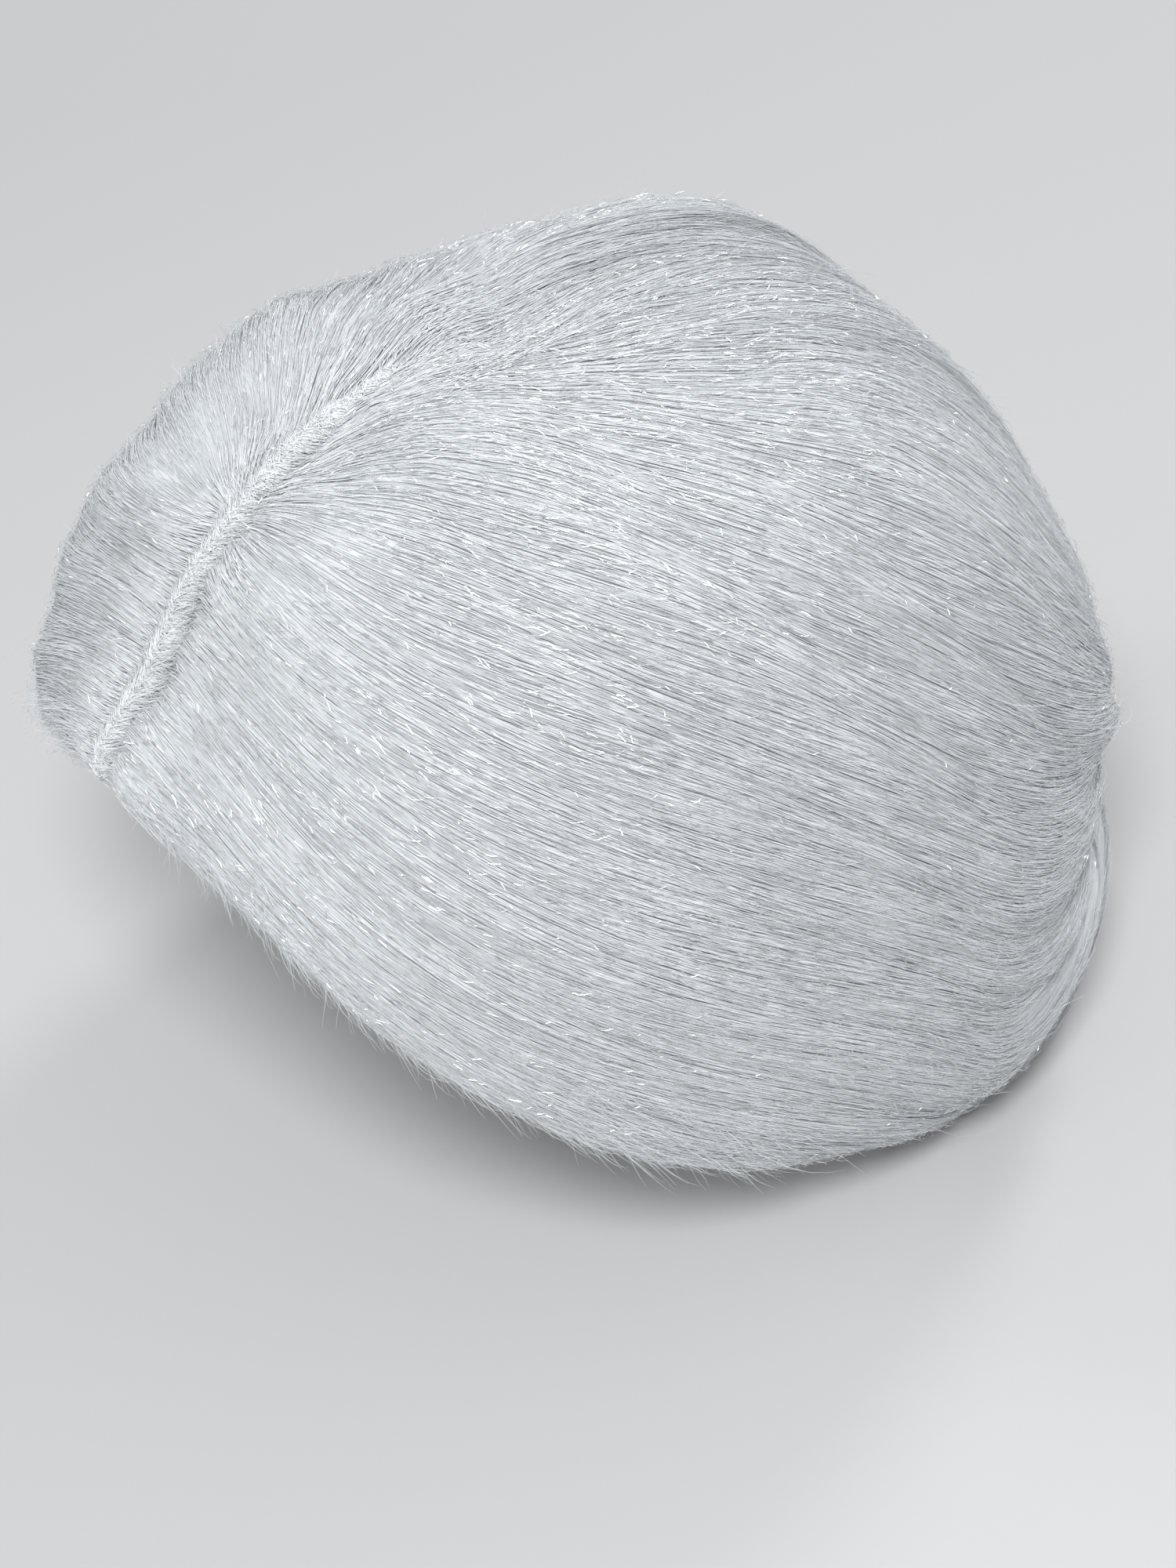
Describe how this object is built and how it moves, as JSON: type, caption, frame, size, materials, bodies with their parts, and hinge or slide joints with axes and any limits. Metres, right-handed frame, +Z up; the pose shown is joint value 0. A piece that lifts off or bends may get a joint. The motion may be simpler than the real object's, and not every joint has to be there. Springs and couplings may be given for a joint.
{
  "type": "costume wig",
  "caption": "White long-pile costume wig with a centre seam, swept-back fur panels, a lined cap, nape elastic and two hook adjusters.",
  "frame": {"origin": "centre of the head-size plane inside the wig, level with the brow", "axes": "+Z up, the wearer faces -Y, +X is the wearer's left"},
  "size_m": [0.2224, 0.2154, 0.1945],
  "materials": {
    "pile": "long glossy synthetic pile",
    "seam_pile": "short standing pile",
    "ground": "knitted ground",
    "lining": "plain weave",
    "tape": "twill tape",
    "casing": "cotton tape",
    "elastic": "ribbed elastic",
    "metal": "nickel plated"
  },
  "bodies": {
    "cap": {"left_fur_panel": "pile", "right_fur_panel": "pile", "nape_fur_panel": "pile", "centre_seam_pile": "seam_pile", "left_ground_fabric": "ground", "right_ground_fabric": "ground", "nape_ground_fabric": "ground", "left_lining": "lining", "right_lining": "lining", "nape_lining": "lining", "left_face_binding": "tape", "right_face_binding": "tape", "centre_seam_tape": "tape", "nape_casing": "casing", "nape_elastic": "elastic", "left_loop_band": "casing", "right_loop_band": "casing", "left_strap": "elastic", "right_strap": "elastic"},
    "left_adjuster": {"left_slider": "metal", "left_strap_end": "elastic"},
    "left_hook": {"left_hook": "metal"},
    "right_adjuster": {"right_slider": "metal", "right_strap_end": "elastic"},
    "right_hook": {"right_hook": "metal"}
  },
  "joints": [
    {"name": "left_adjuster_slide", "type": "hinge", "parent": "cap", "child": "left_adjuster", "pos_m": [0, 0.014, -0.047], "axis": [0, 0, 1], "range_deg": [0, 18]},
    {"name": "left_hook_lift", "type": "hinge", "parent": "left_adjuster", "child": "left_hook", "pos_m": [0.05019, 0.07173, -0.047], "axis": [0.1262, 0.1452, 0.9813], "range_deg": [0, 70]},
    {"name": "right_adjuster_slide", "type": "hinge", "parent": "cap", "child": "right_adjuster", "pos_m": [0, 0.014, -0.047], "axis": [0, 0, -1], "range_deg": [0, 18]},
    {"name": "right_hook_lift", "type": "hinge", "parent": "right_adjuster", "child": "right_hook", "pos_m": [-0.05019, 0.07173, -0.047], "axis": [0.1262, -0.1452, -0.9813], "range_deg": [0, 70]}
  ]
}
